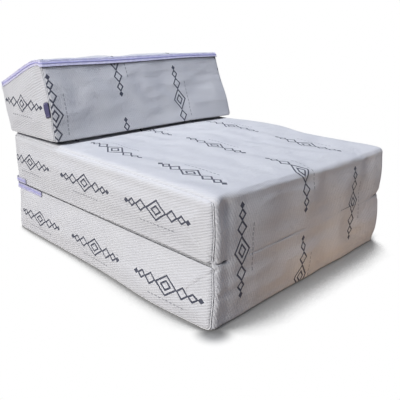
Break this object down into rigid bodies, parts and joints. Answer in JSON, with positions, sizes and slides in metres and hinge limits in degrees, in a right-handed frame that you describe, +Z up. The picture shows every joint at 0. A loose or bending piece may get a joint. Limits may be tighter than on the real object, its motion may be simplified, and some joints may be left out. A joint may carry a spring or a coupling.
{
  "type": "folding mattress",
  "caption": "Padded folding mattress shown folded as a low armless chair: two stacked foam seat blocks and a wedge backrest in zipped knit covers, joined by cloth folds.",
  "frame": {"origin": "on the floor under the middle of the lower seat block", "axes": "+Z up, the seat's front edge at -Y and the backrest towards +Y, X across the width with the sitter's left at +X"},
  "size_m": [0.7143, 0.9118, 0.5292],
  "materials": {
    "cover_cloth": "matte knit",
    "foam": "matte foam",
    "zip_tape": "matte",
    "zip_coil": "satin",
    "zip_slider": "satin",
    "tag_cloth": "matte"
  },
  "bodies": {
    "lower": {"lower_foam_core": "foam", "lower_outer_cover": "cover_cloth", "lower_sleeping_side": "cover_cloth", "lower_left_side": "cover_cloth", "lower_right_side": "cover_cloth", "lower_zip_tape": "zip_tape", "lower_zip_coil": "zip_coil"},
    "upper": {"upper_foam_core": "foam", "upper_outer_cover": "cover_cloth", "upper_sleeping_side": "cover_cloth", "upper_left_side": "cover_cloth", "upper_right_side": "cover_cloth", "upper_zip_tape": "zip_tape", "upper_zip_coil": "zip_coil", "seat_hinge_strip": "cover_cloth"},
    "backrest": {"backrest_foam_core": "foam", "backrest_outer_cover": "cover_cloth", "backrest_lid_panel": "cover_cloth", "backrest_left_side": "cover_cloth", "backrest_right_side": "cover_cloth", "backrest_zip_tape": "zip_tape", "backrest_zip_coil": "zip_coil", "backrest_hinge_strip": "cover_cloth", "label_tag": "tag_cloth"},
    "lower_slider": {"lower_zip_slider": "zip_slider"},
    "lower_pull": {"lower_zip_pull": "zip_slider"},
    "upper_slider": {"upper_zip_slider": "zip_slider"},
    "upper_pull": {"upper_zip_pull": "zip_slider"},
    "backrest_slider": {"backrest_zip_slider": "zip_slider"},
    "backrest_pull": {"backrest_zip_pull": "zip_slider"}
  },
  "joints": [
    {"name": "front_fold", "type": "hinge", "parent": "lower", "child": "upper", "pos_m": [0, -0.4343, 0.15015], "axis": [1, 0, 0], "range_deg": [0, 180]},
    {"name": "back_fold", "type": "hinge", "parent": "upper", "child": "backrest", "pos_m": [0, 0.464, 0.30845], "axis": [-1, 0, 0], "range_deg": [0, 180]},
    {"name": "lower_zip_slide", "type": "slide", "parent": "lower", "child": "lower_slider", "axis": [0, 1, 0], "range_m": [0, 0.125]},
    {"name": "lower_zip_pull_swing", "type": "hinge", "parent": "lower_slider", "child": "lower_pull", "pos_m": [0.3557, 0.288, 0.14], "axis": [0, 0, -1], "range_deg": [0, 180]},
    {"name": "upper_zip_slide", "type": "slide", "parent": "upper", "child": "upper_slider", "axis": [0, 1, 0], "range_m": [0, 0.036]},
    {"name": "upper_zip_pull_swing", "type": "hinge", "parent": "upper_slider", "child": "upper_pull", "pos_m": [0.3557, 0.378, 0.1603], "axis": [0, 0, -1], "range_deg": [0, 180]},
    {"name": "backrest_zip_slide", "type": "slide", "parent": "backrest", "child": "backrest_slider", "axis": [0, -0.9563, 0.2924], "range_m": [0, 0.22]},
    {"name": "backrest_zip_pull_swing", "type": "hinge", "parent": "backrest_slider", "child": "backrest_pull", "pos_m": [0.3557, 0.44833, 0.45184], "axis": [0, 0.2924, 0.9563], "range_deg": [0, 180]}
  ]
}
